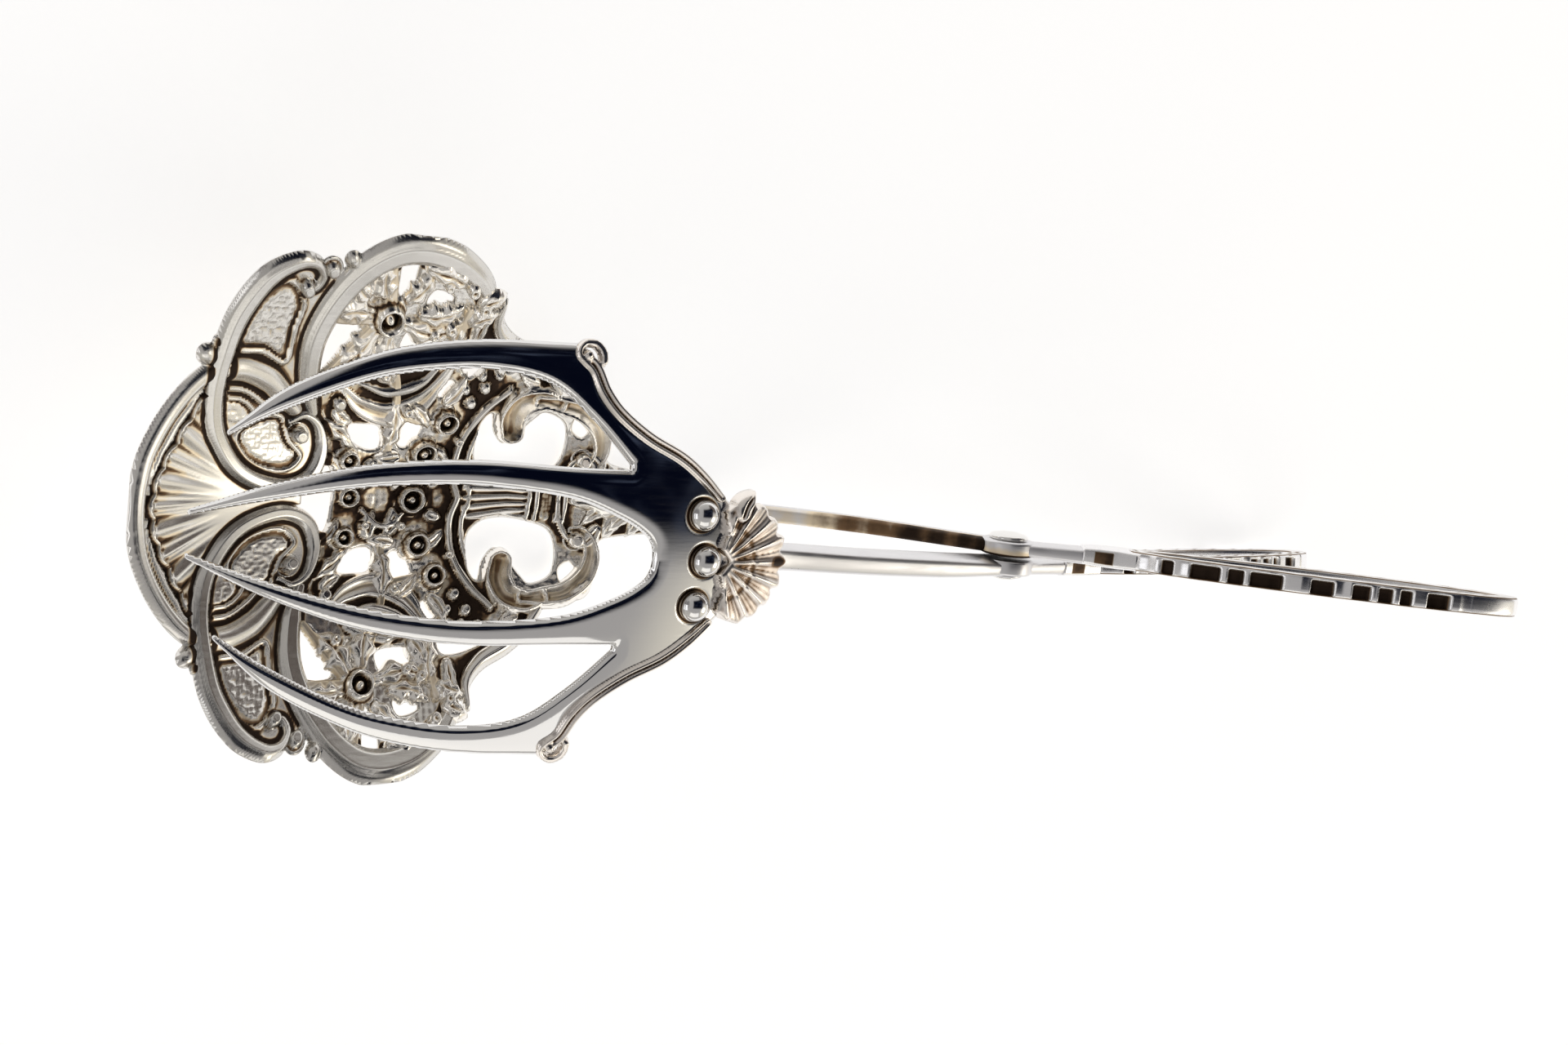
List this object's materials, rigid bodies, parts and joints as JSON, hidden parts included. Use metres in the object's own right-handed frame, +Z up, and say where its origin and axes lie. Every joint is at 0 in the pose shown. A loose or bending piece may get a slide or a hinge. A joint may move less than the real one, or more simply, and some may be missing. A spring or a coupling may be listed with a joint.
{
  "type": "ice tongs",
  "caption": "Scissor-action silver ice tongs with a pierced, dished shell bowl below a four-tine claw, two crossed bars on a rivet, and ornamented finger loops.",
  "frame": {"origin": "centre of the underside of the whole object's box, on the surface that it rests on", "axes": "+X from the jaws to the finger loops, +Y along the rivet, +Z up with the bowl below the claw"},
  "size_m": [0.1684, 0.0642, 0.0558],
  "materials": {
    "polished_silver": "polished sterling silver with fine wear scratches",
    "oxidised_silver": "polished sterling silver, oxidised brown-black in its recesses",
    "rivet_silver": "polished silver rivet and washer, slightly dull"
  },
  "bodies": {
    "bowl_half": {"bowl_body": "oxidised_silver", "bowl_fan_lip": "oxidised_silver", "bowl_arch_left": "oxidised_silver", "bowl_arch_right": "oxidised_silver", "bowl_scroll_left": "oxidised_silver", "bowl_scroll_right": "oxidised_silver", "bowl_panel_left": "oxidised_silver", "bowl_panel_right": "oxidised_silver", "bowl_spray_left": "oxidised_silver", "bowl_spray_right": "oxidised_silver", "bowl_volute_left": "oxidised_silver", "bowl_volute_right": "oxidised_silver", "bowl_root_leaf": "oxidised_silver", "bowl_arm": "polished_silver", "bowl_handle_loop": "polished_silver", "pivot_rivet": "rivet_silver", "rivet_washer": "rivet_silver"},
    "claw_half": {"claw_fork": "polished_silver", "claw_border_left": "polished_silver", "claw_border_right": "polished_silver", "claw_bead_left": "polished_silver", "claw_bead_middle": "polished_silver", "claw_bead_right": "polished_silver", "claw_cuff": "oxidised_silver", "claw_arm": "polished_silver", "claw_handle_loop": "polished_silver"}
  },
  "joints": [
    {"name": "pivot", "type": "hinge", "parent": "bowl_half", "child": "claw_half", "pos_m": [0.02222, 0, 0.0261], "axis": [0, 1, 0], "range_deg": [-9, 26]}
  ]
}
